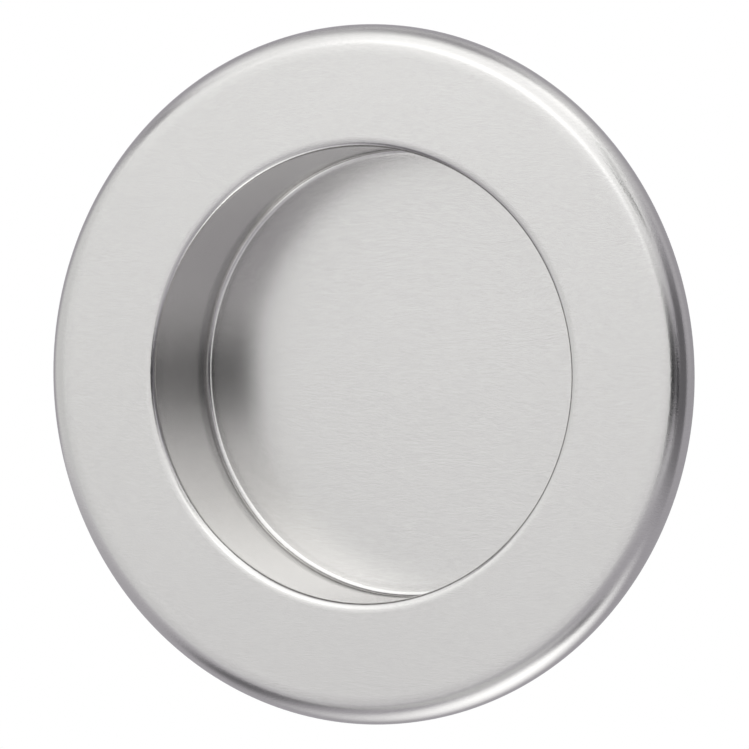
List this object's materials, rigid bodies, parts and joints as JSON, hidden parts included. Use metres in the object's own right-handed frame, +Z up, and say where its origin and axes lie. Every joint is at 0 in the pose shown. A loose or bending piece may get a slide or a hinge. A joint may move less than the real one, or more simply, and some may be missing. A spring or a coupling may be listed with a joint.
{
  "type": "pocket door pull",
  "caption": "Round recessed pull for a sliding pocket door, a satin metal cup with a flat flange and a rounded turned rim, let into a round hole in the door.",
  "frame": {"origin": "on the pull's axis in the plane of the door's surface, which the turned rim meets", "axes": "+Z up the door, -Y out of the door towards the user, +Y along the pull's axis into the door"},
  "size_m": [0.065, 0.0121, 0.065],
  "materials": {
    "satin_steel": "fine blasted satin, slightly brighter where the sheet is bent"
  },
  "bodies": {
    "root": {"pull_shell": "satin_steel"}
  },
  "joints": []
}
